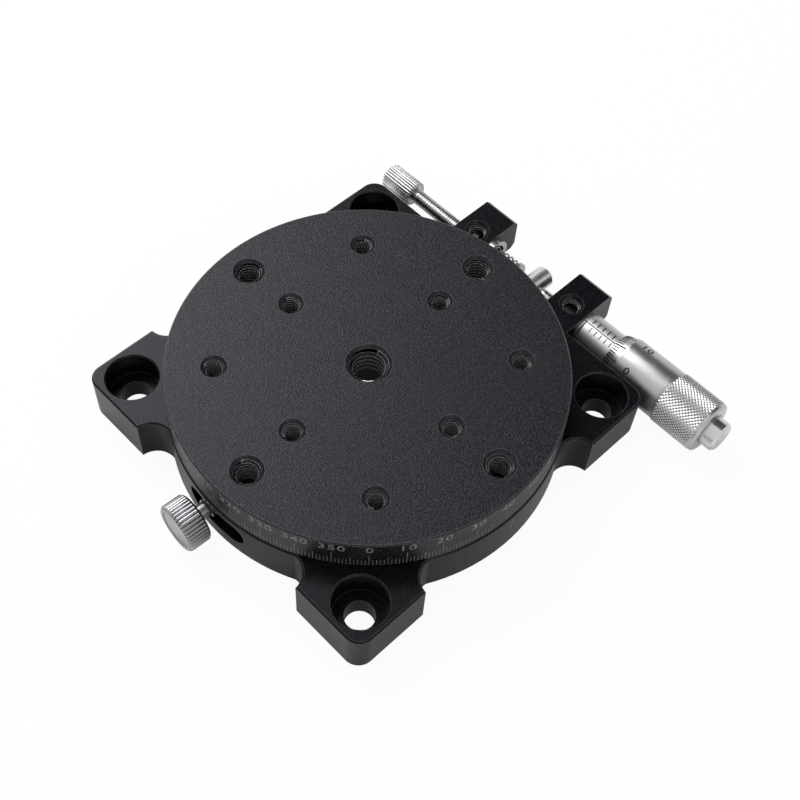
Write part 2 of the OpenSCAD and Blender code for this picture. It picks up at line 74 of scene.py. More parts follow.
COARSE_PITCH = {6.0: 1.0, 4.0: 0.7, 3.0: 0.5, 2.5: 0.45}  # by diameter, in millimetres
DRIVE_AT = (0.0346, 0.0047)  # Y and Z of the drive's axis, in metres
LOCK_AZIMUTH = -93.3  # of the lock screw's axis, in degrees
PROUD = 0.012  # how far a painted mark stands above its surface
SUNK = 0.02  # how far it reaches below
LINE_SUNK = 0.03  # how far a line does, and a division of the thimble
FADE = 0.1  # width over which one finish gives way to another


class Body(Enum):
    """The moving bodies that pieces ride on."""

    BASE = "base"
    TABLE = "table"
    LOCK = "lock_screw"
    THIMBLE = "thimble"
    SPRING_CAP = "spring_cap"
    SPRING_SEAT = "spring_seat"
    SPRING_SCREW = "spring_screw"


class Slot(Enum):
    """The record's material slots, passed along with the pieces made here."""

    BLACK = "black_anodised"
    CHROME = "chrome"
    SPRING = "spring_steel"


# ---------------------------------------------------------------- finishes


class Graph:
    """A material's or a world's node graph, with short calls to add and feed nodes."""

    def __init__(self, owner: bpy.types.Material | bpy.types.World,
                 output: str = "ShaderNodeOutputMaterial") -> None:
        """Start an empty graph.

        Args:
            owner: The new material or world that it belongs to.
            output: Blender's name for the output node's type.
        """
        self.owner = owner
        owner.use_nodes = True
        self.nodes, self.links = owner.node_tree.nodes, owner.node_tree.links
        self.nodes.clear()
        self.output = self.add(output)
        self._coordinates: Socket | None = None

    def add(self, kind: str, feeds: Feeds | None = None, **settings: object) -> bpy.types.Node:
        """Add a node.

        Args:
            kind: Blender's name for the node's type.
            feeds: What its inputs get.
            **settings: Properties of the node.

        Returns:
            The new node.
        """
        node = self.nodes.new(kind)
        for key, value in settings.items():
            setattr(node, key, value)
        self.feed(node, feeds or {})
        return node

    def feed(self, node: bpy.types.Node, feeds: Feeds) -> None:
        """Set or link a node's inputs.

        Args:
            node: The node.
            feeds: What each input gets: a value, or a socket that is linked to it.
        """
        for key, value in feeds.items():
            if isinstance(value, Socket):
                self.links.new(value, node.inputs[key])
            else:
                node.inputs[key].default_value = value

    def place(self) -> Socket:
        """Give the Object coordinates, in metres from the turning axis.

        Returns:
            The coordinates.
        """
        if self._coordinates is None:
            self._coordinates = self.add("ShaderNodeTexCoord").outputs["Object"]
        return self._coordinates

    def noise(self, scale: float, detail: float = 2.0, stretch: Triple = EVEN,
              turn: float = 0.0) -> Socket:
        """Add a noise on Object coordinates.

        Args:
            scale: Grains to the metre.
            detail: How many finer layers it has.
            stretch: Factors along X, Y and Z, above 1 where the grains are short.
            turn: Angle in radians about Z that the stretch is turned by.

        Returns:
            The noise's value.
        """
        source = self.place()
        if stretch != EVEN:
            feeds: Feeds = {"Vector": source, "Rotation": (0.0, 0.0, turn)}
            turned = self.add("ShaderNodeMapping", feeds, vector_type="TEXTURE")
            feeds = {"Vector": turned.outputs["Vector"], "Scale": stretch}
            source = self.add("ShaderNodeMapping", feeds).outputs["Vector"]
        feeds = {"Vector": source, "Scale": scale, "Detail": detail}
        return self.add("ShaderNodeTexNoise", feeds).outputs["Fac"]

    def spread(self, value: Socket, low: float, high: float, start: float = 0.3,
               end: float = 0.7) -> Socket:
        """Map a value onto a range.

        Args:
            value: The value, such as a noise.
            low: Result at start.
            high: Result at end.
            start: Lower end of the value's useful range.
            end: Upper end of it.

        Returns:
            The mapped value.
        """
        return self.add("ShaderNodeMapRange", {
            "Value": value, "From Min": start, "From Max": end, "To Min": low, "To Max": high,
        }).outputs["Result"]

    def tint(self, value: Socket, low: Colour, high: Colour, start: float = 0.35,
             end: float = 0.65) -> Socket:
        """Colour a noise between two colours.

        Args:
            value: The noise.
            low: Colour at start.
            high: Colour at end.
            start: Lower end of the noise's useful range.
            end: Upper end of it.

        Returns:
            The colour.
        """
        node = self.add("ShaderNodeValToRGB", {"Fac": value})
        for element, place, colour in zip(node.color_ramp.elements, (start, end), (low, high)):
            element.position = place
            element.color = (*colour, 1.0)
        return node.outputs["Color"]

    def mix(self, share: Socket, first: Socket | Colour, second: Socket | Colour) -> Socket:
        """Mix two colours.

        Args:
            share: Share of the second colour.
            first: The first colour.
            second: The second colour.

        Returns:
            The mixed colour.
        """
        both = [(*c, 1.0) if isinstance(c, tuple) else c for c in (first, second)]
        feeds = {0: share, 6: both[0], 7: both[1]}
        return self.add("ShaderNodeMix", feeds, data_type="RGBA").outputs[2]

    def sum_up(self, operation: str, first: Feed, second: Feed) -> Socket:
        """Do one sum on two numbers, by Blender's name for it."""
        feeds = {0: first, 1: second}
        return self.add("ShaderNodeMath", feeds, operation=operation).outputs["Value"]

    def bump(self, height: Socket, distance: float, strength: float,
             below: Socket | None = None) -> Socket:
        """Turn a height into a normal.

        Args:
            height: The height, 0 to 1.
            distance: What a height of 1 stands for, in millimetres.
            strength: Share of it that shows.
            below: A normal from a coarser bump, if there is one.

        Returns:
            The normal.
        """
        feeds: dict[str | int, Feed] = {
            "Height": height, "Distance": distance * MM, "Strength": strength,
        }
        if below is not None:
            feeds["Normal"] = below
        return self.add("ShaderNodeBump", feeds).outputs["Normal"]

    def edged(self, colour: Socket, edge: Colour, width: float, highlight_full: float = 0.90,
              highlight_none: float = 0.985) -> Socket:
        """Lighten sharp edges with a painted highlight.

        Args:
            colour: The colour away from the edges.
            edge: The painted highlight's colour on them.
            width: How far the painted highlight reaches from the edges, in millimetres.
            highlight_full: Cosine of the turn to the rounded normal at full painted highlight.
            highlight_none: Cosine of the turn where it ends.

        Returns:
            The colour over the whole piece.
        """
        rounded = self.add("ShaderNodeBevel", {"Radius": width * MM}, samples=6)
        face = self.add("ShaderNodeNewGeometry")
        turn = self.add("ShaderNodeVectorMath", {0: rounded.outputs["Normal"],
                                                 1: face.outputs["Normal"]},
                        operation="DOT_PRODUCT")
        share = self.spread(turn.outputs["Value"], 1.0, 0.0, highlight_full, highlight_none)
        return self.mix(share, colour, edge)

    def blackened(self, colour: Socket, black: Colour, end: float) -> Socket:
        """Paint shade on what lies below a place along X.

        Args:
            colour: The colour above it.
            black: The painted shade's colour below it.
            end: The place, in millimetres.

        Returns:
            The colour over the whole piece.
        """
        parts = self.add("ShaderNodeSeparateXYZ", {"Vector": self.place()})
        share = self.spread(parts.outputs["X"], 0.0, 1.0, end * MM, (end + FADE) * MM)
        return self.mix(share, black, colour)

    def open_to_light(self, below: float, within: float) -> Socket:
        """Tell the holes of a disc from its top and rim, for the painted shade in the holes.

        Args:
            below: Height of the holes' mouths, in millimetres.
            within: Radius that all the holes lie within.

        Returns:
            0 inside the holes, where shade is painted, and 1 on the top and the rim.
        """
        parts = self.add("ShaderNodeSeparateXYZ", {"Vector": self.place()})
        flat = self.add("ShaderNodeVectorMath", {0: self.place(), 1: (1.0, 1.0, 0.0)},
                        operation="MULTIPLY")
        reach = self.add("ShaderNodeVectorMath", {0: flat.outputs["Vector"]}, operation="LENGTH")
        top = self.spread(parts.outputs["Z"], 0.0, 1.0, (below - FADE) * MM, below * MM)
        rim = self.spread(reach.outputs["Value"], 0.0, 1.0, within * MM, (within + FADE) * MM)
        return self.sum_up("MAXIMUM", top, rim)

    def glow(self, kind: str, strength: float) -> Socket:
        """Add a white light of a kind of node and a strength, and give its shader."""
        return self.add(kind, {"Color": WHITE, "Strength": strength}).outputs[0]

    def show(self, shader: Socket) -> None:
        """Send a shader to the output."""
        self.feed(self.output, {"Surface": shader})

    def show_mixed(self, share: Socket, first: Socket, second: Socket) -> None:
        """Send a mix of two shaders to the output, by the share of the second."""
        feeds = {"Fac": share, 1: first, 2: second}
        self.show(self.add("ShaderNodeMixShader", feeds).outputs["Shader"])

    def surface(self, metallic: float, specular: Feed, feeds: Feeds) -> bpy.types.Material:
        """Add the surface shader and join it to the output.

        Args:
            metallic: 1 for bare metal, 0 for paint and anodising.
            specular: Strength of the clear reflection.
            feeds: What the shader's other inputs get.

        Returns:
            The finished material.
        """
        node = self.add("ShaderNodeBsdfPrincipled", {
            "Metallic": metallic, "Specular IOR Level": specular, **feeds,
        })
        self.show(node.outputs["BSDF"])
        return self.owner


@dataclass(frozen=True)
class BlastedAnodise:
    """Black anodising over a bead-blasted surface: a fine, even grain that glints."""

    name: str
    dark: Colour = (0.0005, 0.0006, 0.0012)
    light: Colour = (0.034, 0.035, 0.041)
    sheen: Colour = (0.89, 0.94, 1.0)
    grains: float = 4700.0
    finer: float = 2.1
    rough: tuple[float, float] = (0.28, 0.44)
    specular: float = 0.27
    depth: float = 0.07
    strength: float = 1.0
    # Painted highlight on sharp edges: its colour, and how far it reaches in millimetres.
    edge: Colour = (0.3, 0.3, 0.31)
    edge_width: float = 0.075
    # Painted shade: the holes below this height and within this radius are darkened, with less
    # specular.
    holes_below: float | None = None
    holes_within: float = 28.5
    holes_specular: float = 0.05

    def make(self) -> bpy.types.Material:
        """Build the material.

        Returns:
            The new material.
        """
        g = Graph(bpy.data.materials.new(self.name))
        grain = g.noise(self.grains)
        fine = g.noise(self.grains * self.finer, 1.0)
        colour = g.tint(grain, self.dark, self.light, 0.47, 0.68)
        # Painted highlight: the sharp edges are lightened to edge.
        colour = g.edged(colour, self.edge, self.edge_width)
        specular: Feed = self.specular
        # Painted shade: the holes take the grain's dark colour and a lower specular.
        if self.holes_below is not None:
            share = g.open_to_light(self.holes_below, self.holes_within)
            colour = g.mix(share, self.dark, colour)
            specular = g.spread(share, self.holes_specular, self.specular)
        coarse = g.bump(grain, self.depth, self.strength)
        return g.surface(0.0, specular, {
            "Base Color": colour,
            "Specular Tint": (*self.sheen, 1.0),
            "Roughness": g.spread(fine, *reversed(self.rough)),
            "Normal": g.bump(fine, self.depth * 0.4, self.strength * 0.6, coarse),
        })


@dataclass(frozen=True)
class TurnedMetal:
    """Bare or plated metal with the fine rings that a lathe leaves."""

    name: str
    dark: Colour
    light: Colour
    rough: tuple[float, float]
    clouds: float = 320.0
    ring_pitch: float = 0.06
    depth: float = 0.002
    strength: float = 0.4
    along: Triple = (1.0, 0.02, 0.02)
    turn: float = 0.0
    grain_depth: float = 0.0
    grains: float = 6500.0
    # Painted shade below a place along X: its colour, and the place in millimetres.
    black: Colour = (0.018, 0.018, 0.02)
    black_below: float | None = None

    def make(self) -> bpy.types.Material:
        """Build the material.

        Returns:
            The new material.
        """
        g = Graph(bpy.data.materials.new(self.name))
        rings = g.noise(1.0 / (self.ring_pitch * MM), 2.0, self.along, self.turn)
        colour = g.tint(g.noise(self.clouds, 3.0), self.dark, self.light)
        # Painted shade: the part below black_below takes black.
        if self.black_below is not None:
            colour = g.blackened(colour, self.black, self.black_below)
        normal = g.bump(rings, self.depth, self.strength)
        if self.grain_depth > 0.0:
            normal = g.bump(g.noise(self.grains), self.grain_depth, self.strength, normal)
        return g.surface(1.0, 0.5, {
            "Base Color": colour,
            "Roughness": g.spread(rings, *self.rough),
            "Normal": normal,
        })


@dataclass(frozen=True)
class MarkPaint:
    """Paint wiped into an engraved mark, a little thin in places."""

    name: str
    dark: Colour = (0.09, 0.09, 0.095)
    light: Colour = (0.23, 0.23, 0.235)
    patches: float = 2600.0
    depth: float = 0.01
    strength: float = 0.3
    roughness: float = 0.55
    specular: float = 0.4

    def make(self) -> bpy.types.Material:
        """Build the material.

        Returns:
            The new material.
        """
        g = Graph(bpy.data.materials.new(self.name))
        wear = g.noise(self.patches)
        return g.surface(0.0, self.specular, {
            "Base Color": g.tint(wear, self.dark, self.light),
            "Roughness": self.roughness,
            "Normal": g.bump(wear, self.depth, self.strength),
        })


Finish = BlastedAnodise | TurnedMetal | MarkPaint


class Finishes:
    """Every finish of the stage."""

    TOP = BlastedAnodise("anodise_blasted", holes_below=13.45)
    BODY = BlastedAnodise("anodise_body", light=(0.0104, 0.0112, 0.0142), grains=5200.0,
                          rough=(0.25, 0.36), specular=0.17, depth=0.03, strength=0.7,
                          edge=(0.2, 0.2, 0.21))
    # Painted highlight: the thread crests are lightened almost to white.
    TAPPED = BlastedAnodise("cut_thread", light=(0.009, 0.0094, 0.011), rough=(0.2, 0.3),
                            specular=0.22, depth=0.008, strength=0.3, edge=(0.72, 0.73, 0.75),
                            edge_width=0.09)
    # Painted shade: the sleeve's stem inside the lug, seen down the lug's hole, is darkened.
    SLEEVE = TurnedMetal("satin_chrome_shaded_stem", dark=(0.6, 0.602, 0.615),
                         light=(0.67, 0.672, 0.685), rough=(0.38, 0.48), grain_depth=0.006,
                         black_below=13.55)
    KNURL = TurnedMetal("knurled_chrome", dark=(0.46, 0.462, 0.475), light=(0.53, 0.532, 0.545),
                        rough=(0.28, 0.36))
    BLACK_STEEL = TurnedMetal("oiled_black_steel", dark=(0.02, 0.02, 0.022),
                              light=(0.045, 0.045, 0.048), rough=(0.3, 0.42))
    STEEL = TurnedMetal("turned_steel", dark=(0.36, 0.362, 0.372), light=(0.46, 0.462, 0.472),
                        rough=(0.22, 0.34), ring_pitch=0.09, depth=0.004)
    PIN = TurnedMetal("ground_pin", dark=(0.6, 0.602, 0.612), light=(0.68, 0.682, 0.692),
                      rough=(0.26, 0.38), turn=math.radians(86.7))
    # Painted shade: the lock screw's steel is darker than the other turned steel.
    RADIAL = TurnedMetal("turned_steel_radial", dark=(0.25, 0.252, 0.262),
                         light=(0.33, 0.332, 0.342), rough=(0.2, 0.32), ring_pitch=0.09,
                         depth=0.004, turn=math.radians(LOCK_AZIMUTH))
    POLISHED = TurnedMetal("ground_steel", dark=(0.5, 0.5, 0.51), light=(0.6, 0.6, 0.61),
                           rough=(0.1, 0.16), ring_pitch=0.05, depth=0.001,
                           along=(0.02, 0.02, 1.0))
    RING = TurnedMetal("milled_steel", dark=(0.3, 0.3, 0.31), light=(0.42, 0.42, 0.43),
                       rough=(0.3, 0.42), ring_pitch=0.12, depth=0.004, along=(0.02, 0.02, 1.0))
    WIRE = TurnedMetal("spring_wire", dark=(0.2, 0.2, 0.205), light=(0.32, 0.32, 0.325),
                       rough=(0.2, 0.3), ring_pitch=0.1, along=(0.05, 1.0, 1.0))
    POLISHED_CAP = TurnedMetal("polished_chrome", dark=(0.62, 0.622, 0.632),
                               light=(0.7, 0.702, 0.712), rough=(0.18, 0.26))
    BRASS = TurnedMetal("turned_brass", dark=(0.55, 0.36, 0.12), light=(0.72, 0.5, 0.2),
                        rough=(0.25, 0.38), ring_pitch=0.08, along=(0.02, 0.02, 1.0))
    DIAL = MarkPaint("dial_paint")
    SCALE = MarkPaint("scale_paint", dark=(0.006, 0.006, 0.007), light=(0.02, 0.02, 0.022),
                      specular=0.2)


# ---------------------------------------------------------------- the bench


def along_axis(azimuth: float, across: float, height: float) -> Matrix:
    """Give the frame of an axis that lies flat at an azimuth.

    Local Z runs along the axis and local X is up, so an angle about it runs from up towards
    the right hand, seen along the axis.

    Args:
        azimuth: Direction of the axis in degrees from +X.
        across: The axis's Y where it passes the turning axis, in metres.
        height: The axis's Z, in metres.

    Returns:
        The frame.
    """
    along = math.radians(azimuth)
    z = Vector((math.cos(along), math.sin(along), 0.0))
    x = Vector((0.0, 0.0, 1.0))
    turned = Matrix((x, z.cross(x), z)).transposed().to_4x4()
    return Matrix.Translation((0.0, across, height)) @ turned


DRIVE = along_axis(0.0, *DRIVE_AT)
LOCK = along_axis(LOCK_AZIMUTH, 0.0, DRIVE_AT[1])


def spun(degrees: float) -> Matrix:
    """Give a turn about Z."""
    return Matrix.Rotation(math.radians(degrees), 4, "Z")


class Bench:
    """Modelling with Blender's own tools: start a primitive, shape it in edit mode, finish it."""

    def __init__(self) -> None:
        """Start with no material made."""
        self._materials: dict[str, bpy.types.Material] = {}

    def material(self, look: Finish) -> bpy.types.Material:
        """Give a finish's material, and make it the first time.

        Args:
            look: The finish.

        Returns:
            Its material.
        """
        if look.name not in self._materials:
            self._materials[look.name] = look.make()
        return self._materials[look.name]

    def dress(self, node: str, look: Finish) -> None:
        """Give a node that keeps its own mesh a finish.

        Args:
            node: The node's name.
            look: The finish that it gets.
        """
        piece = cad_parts[node]
        if not piece.material_slots:
            piece.data.materials.append(self.material(look))
        for place in piece.material_slots:
            place.material = self.material(look)
        LOG.info("dressed %s in %s", node, look.name)

    def clear(self) -> None:
        """Leave edit mode and deselect all."""
        if bpy.context.object is not None and bpy.context.object.mode != "OBJECT":
            bpy.ops.object.mode_set(mode="OBJECT")
        bpy.ops.object.select_all(action="DESELECT")

    def open(self, name: str) -> Piece:
        """Name the primitive just added and start to shape it, with all of it selected.

        Args:
            name: The piece's name.

        Returns:
            The piece.
        """
        piece = bpy.context.object
        piece.name = piece.data.name = name
        bpy.ops.object.mode_set(mode="EDIT")
        bpy.ops.mesh.select_mode(type="VERT")
        self.select_all()
        return piece

    def circle(self, name: str, radius: float, sides: int, height: float = 0.0) -> Piece:
        """Start a piece from a ring of points about Z.

        Args:
            name: The piece's name.
            radius: The ring's radius, in millimetres.
            sides: Points round it.
            height: Where it lies on Z.

        Returns:
            The piece.
        """
        self.clear()
        bpy.ops.mesh.primitive_circle_add(vertices=sides, radius=radius * MM, location=ORIGIN)
        piece = self.open(name)
        self.shift(0.0, 0.0, height)
        return piece

    def square(self, name: str, size: float = 1.0) -> Piece:
        """Start a piece from a square, flat in XY and centred on the origin.

        Args:
            name: The piece's name.
            size: The square's side, in metres.

        Returns:
            The piece.
        """
        self.clear()
        bpy.ops.mesh.primitive_plane_add(size=size, location=ORIGIN)
        return self.open(name)

    def select_all(self) -> None:
        """Select all of the piece that is being shaped."""
        bpy.ops.mesh.select_all(action="SELECT")

    def edit(self) -> None:
        """Start to shape the active piece, with all of it selected."""
        bpy.ops.object.mode_set(mode="EDIT")
        self.select_all()

    def shift(self, x: float, y: float, z: float) -> None:
        """Move what is selected, in millimetres."""
        bpy.ops.transform.translate(value=(x * MM, y * MM, z * MM))

    def resize(self, x: float, y: float, z: float) -> None:
        """Resize what is selected about the origin."""
        bpy.ops.transform.resize(value=(x, y, z), center_override=ORIGIN)

    def raise_up(self) -> None:
        """Turn what is selected from flat in XY to upright in XZ."""
        bpy.ops.transform.rotate(value=math.pi / 2, orient_axis="X", center_override=ORIGIN)

    def extrude(self, rise: float) -> None:
        """Extrude what is selected along Z, in millimetres."""
        bpy.ops.mesh.extrude_region_move(TRANSFORM_OT_translate={"value": (0.0, 0.0, rise * MM)})

    def pick(self, test: Callable[[Vector, int], bool]) -> None:
        """Select the points that pass a test, and no others.

        Args:
            test: Takes a point in metres and its number.
        """
        mesh = bmesh.from_edit_mesh(bpy.context.object.data)
        mesh.verts.ensure_lookup_table()
        for part in (*mesh.faces, *mesh.edges):
            part.select_set(False)
        for i, v in enumerate(mesh.verts):
            v.select_set(test(v.co, i))
        mesh.select_flush(True)
        bmesh.update_edit_mesh(bpy.context.object.data)

    def close(self, merge: float = 0.0) -> None:
        """Turn all faces outwards and leave edit mode.

        Args:
            merge: Points closer than this, in millimetres, become one. 0 merges none.
        """
        self.select_all()
        if merge > 0.0:
            bpy.ops.mesh.remove_doubles(threshold=merge * MM)
        bpy.ops.mesh.normals_make_consistent(inside=False)
        bpy.ops.object.mode_set(mode="OBJECT")

    def walk(self, profile: Profile) -> None:
        """Extrude the selected ring along a profile, and resize it at each step.

        Args:
            profile: Heights and radii, in millimetres, of which the first is where it stands.
        """
        (z, r), *steps = profile
        for z1, r1 in steps:
            self.extrude(z1 - z)
            if r1 != r:
                self.resize(r1 / r, r1 / r, 1.0)
            z, r = z1, r1

    def turned(self, name: str, profile: Profile, sides: int) -> Piece:
        """Turn a solid about Z.

        Args:
            name: The piece's name.
            profile: Heights and radii in millimetres, from one end to the other.
            sides: Points round each ring.

        Returns:
            The piece.
        """
        piece = self.circle(name, profile[0][1], sides, profile[0][0])
        self.walk(profile)
        bpy.ops.mesh.edge_face_add()
        self.pick(lambda co, i: i < sides)
        bpy.ops.mesh.edge_face_add()
        self.close()
        return piece

    def ridge(self, name: str, foot_r: float, crest_r: float, pitch: float, start: float,
              length: float, shares: tuple[float, float], steps: int) -> Piece:
        """Wind a thread's ridge about Z.

        Args:
            name: The piece's name.
            foot_r: Radius where the ridge stands, just inside the wall that carries it.
            crest_r: Radius of its crest.
            pitch: Rise to a turn.
            start: Height where it starts.
            length: How far it rises.
            shares: Widths of the foot and of the crest over the pitch.
            steps: Points to a turn.

        Returns:
            The piece.
        """
        foot, crest = shares
        outwards = 1.0 if crest_r > foot_r else -1.0
        piece = self.square(name)
        self.raise_up()
        self.resize(abs(crest_r - foot_r) * MM, 1.0, foot * pitch * MM)
        self.pick(lambda co, i: co.x * outwards > 0.0)
        self.resize(1.0, 1.0, crest / foot)
        self.select_all()
        self.shift((foot_r + crest_r) / 2, 0.0, start)
        bpy.ops.mesh.delete(type="ONLY_FACE")
        self.wind(piece, pitch, length / pitch, steps)
        return piece

    def tapped(self, name: str, size: float, top: float, depth: float, mouth: float,
               run_out: float) -> Piece:
        """Make the thread of a tapped hole, about Z.

        Args:
            name: The piece's name.
            size: The thread's diameter.
            top: Height of the hole's mouth.
            depth: The hole's depth.
            mouth: Depth of the plain mouth.
            run_out: Plain length at the two ends together, over the pitch.

        Returns:
            The piece.
        """
        pitch = COARSE_PITCH[size]
        foot_r, crest_r = size / 2 + SUNK, size / 2 - 0.54 * pitch
        start, length = top - depth + 0.5 * pitch, depth - mouth - run_out * pitch
        thread = self.ridge(name, foot_r, crest_r, pitch, start, length, shares=(0.875, 0.2),
                            steps=36 if size > 3 else 28)
        self.smooth(thread, 30.0)
        return thread

    def wind(self, piece: Piece, pitch: float, turns: float, steps: int) -> None:
        """Wind the open piece's closed outline about Z and close its two ends.

        Args:
            piece: The piece, in edit mode.
            pitch: Rise to a turn, in millimetres.
            turns: Number of turns.
            steps: Points to a turn.
        """
        bpy.ops.object.mode_set(mode="OBJECT")
        screw = piece.modifiers.new("wind", "SCREW")
        screw.axis = "Z"
        screw.angle = turns * 2 * math.pi
        screw.screw_offset = turns * pitch * MM
        screw.steps = screw.render_steps = round(turns * steps)
        screw.use_merge_vertices = False
        bpy.ops.object.modifier_apply(modifier=screw.name)
        self.edit()
        bpy.ops.mesh.fill_holes(sides=16)
        self.close()

    def bar(self, name: str, low: Triple, high: Triple) -> Piece:
        """Make a thin bar, for a straight mark.

        Args:
            name: The piece's name.
            low: Its lowest corner, in millimetres.
            high: Its highest corner.

        Returns:
            The piece.
        """
        wide, deep, tall = (b - a for a, b in zip(low, high))
        piece = self.square(name)
        self.resize(wide * MM, deep * MM, 1.0)
        self.shift((low[0] + high[0]) / 2, (low[1] + high[1]) / 2, low[2])
        self.extrude(tall)
        self.close()
        return piece

    def round_copies(self, piece: Piece, count: int) -> None:
        """Repeat a piece evenly about Z within its own mesh.

        Args:
            piece: The piece.
            count: How many there are in the end.
        """
        self.take(piece)
        self.edit()
        bpy.ops.mesh.spin(steps=count - 1, dupli=True,
                          angle=math.radians(360 / count * (count - 1)), center=ORIGIN,
                          axis=(0.0, 0.0, 1.0))
        self.close()

    def take(self, *pieces: Piece) -> None:
        """Select these pieces only, with the first as the active one.

        Args:
            *pieces: The pieces.
        """
        self.clear()
        for piece in pieces:
            piece.select_set(True)
        bpy.context.view_layer.objects.active = pieces[0]

    def put(self, piece: Piece, where: Matrix) -> Piece:
        """Move a piece's mesh to its place, and leave its object at the origin.

        Args:
            piece: The piece.
            where: The frame that it is placed in.

        Returns:
            The piece.
        """
        self.take(piece)
        piece.matrix_world = where @ piece.matrix_world
        bpy.ops.object.transform_apply(location=True, rotation=True, scale=True)
        return piece

    def copy(self, piece: Piece, where: Matrix) -> Piece:
        """Copy a piece, mesh and all, to a place.

        Args:
            piece: The piece, which stays.
            where: The frame that the copy is placed in.

        Returns:
            The copy.
        """
        self.take(piece)
        bpy.ops.object.duplicate(linked=False)
        return self.put(bpy.context.object, where)

    def join(self, name: str, pieces: Sequence[Piece]) -> Piece:
        """Join pieces into one.

        Args:
            name: The name of the whole.
            pieces: What it is made of.

        Returns:
            The whole.
        """
        self.take(*pieces)
        bpy.ops.object.join()
        whole = bpy.context.object
        whole.name = whole.data.name = name
        return whole

    def drop(self, *patterns: Piece) -> None:
        """Delete pattern pieces once their copies are made."""
        self.take(*patterns)
        bpy.ops.object.delete()

    def glyph(self, digit: str, height: float, thick: float, wide: float, bold: float) -> Piece:
        """Make one numeral, flat in XY and centred on the origin, with its top face up.

        Args:
            digit: The numeral.
            height: How tall it stands, in millimetres.
            thick: How thick it is.
            wide: How much wider than the typeface it is.
            bold: How far its outline is moved out.

        Returns:
            The piece.
        """
        self.clear()
        bpy.ops.object.text_add(location=ORIGIN)
        text = bpy.context.object.data
        text.body = digit
        text.size = height * MM / 0.73  # a numeral's height over the typeface's size
        text.extrude = thick * MM / 2
        text.offset = bold * MM
        text.resolution_u = 3
        bpy.ops.object.convert(target="MESH")
        corners = [Vector(c) for c in bpy.context.object.bound_box]
        middle = (Vector(map(min, *corners)) + Vector(map(max, *corners))) / 2
        piece = self.open(f"numeral_{digit}")
        bpy.ops.transform.translate(value=(-middle.x, -middle.y, 0.0))
        self.resize(wide, 1.0, 1.0)
        self.close(0.0002)
        return piece

    def smooth(self, piece: Piece, angle: float) -> None:
        """Shade a piece smooth, save across edges sharper than an angle in degrees."""
        self.take(piece)
        bpy.ops.object.shade_smooth_by_angle(angle=math.radians(angle))

    def coat(self, piece: Piece, look: Finish) -> None:
        """Give a piece made here a finish."""
        piece.data.materials.clear()
        piece.data.materials.append(self.material(look))

    def finish(self, piece: Piece, look: Finish, body: Body, slot: Slot, *stands_for: str) -> None:
        """Give a piece its finish and its body, and hide the nodes that it stands for.

        Args:
            piece: The piece.
            look: Its finish.
            body: The body that it rides on.
            slot: The record's material slot; not used.
            *stands_for: Nodes that it replaces.
        """
        self.coat(piece, look)
        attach(piece, body.value)
        if stands_for:
            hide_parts(*stands_for)
        LOG.info("made %s: %d faces", piece.name, len(piece.data.polygons))


# ---------------------------------------------------------------- sub-assemblies


@dataclass
class Assembly:
    """A sub-assembly: nodes that keep their own mesh, and pieces made to a finer one."""

    bench: Bench
    plain: ClassVar[dict[str, Finish]] = {}

    def build(self) -> None:
        """Dress the nodes, then make the pieces."""
        for node, look in self.plain.items():
            self.bench.dress(node, look)
        self.make()

    def make(self) -> None:
        """Make the pieces. A sub-assembly that has none leaves this as it is."""


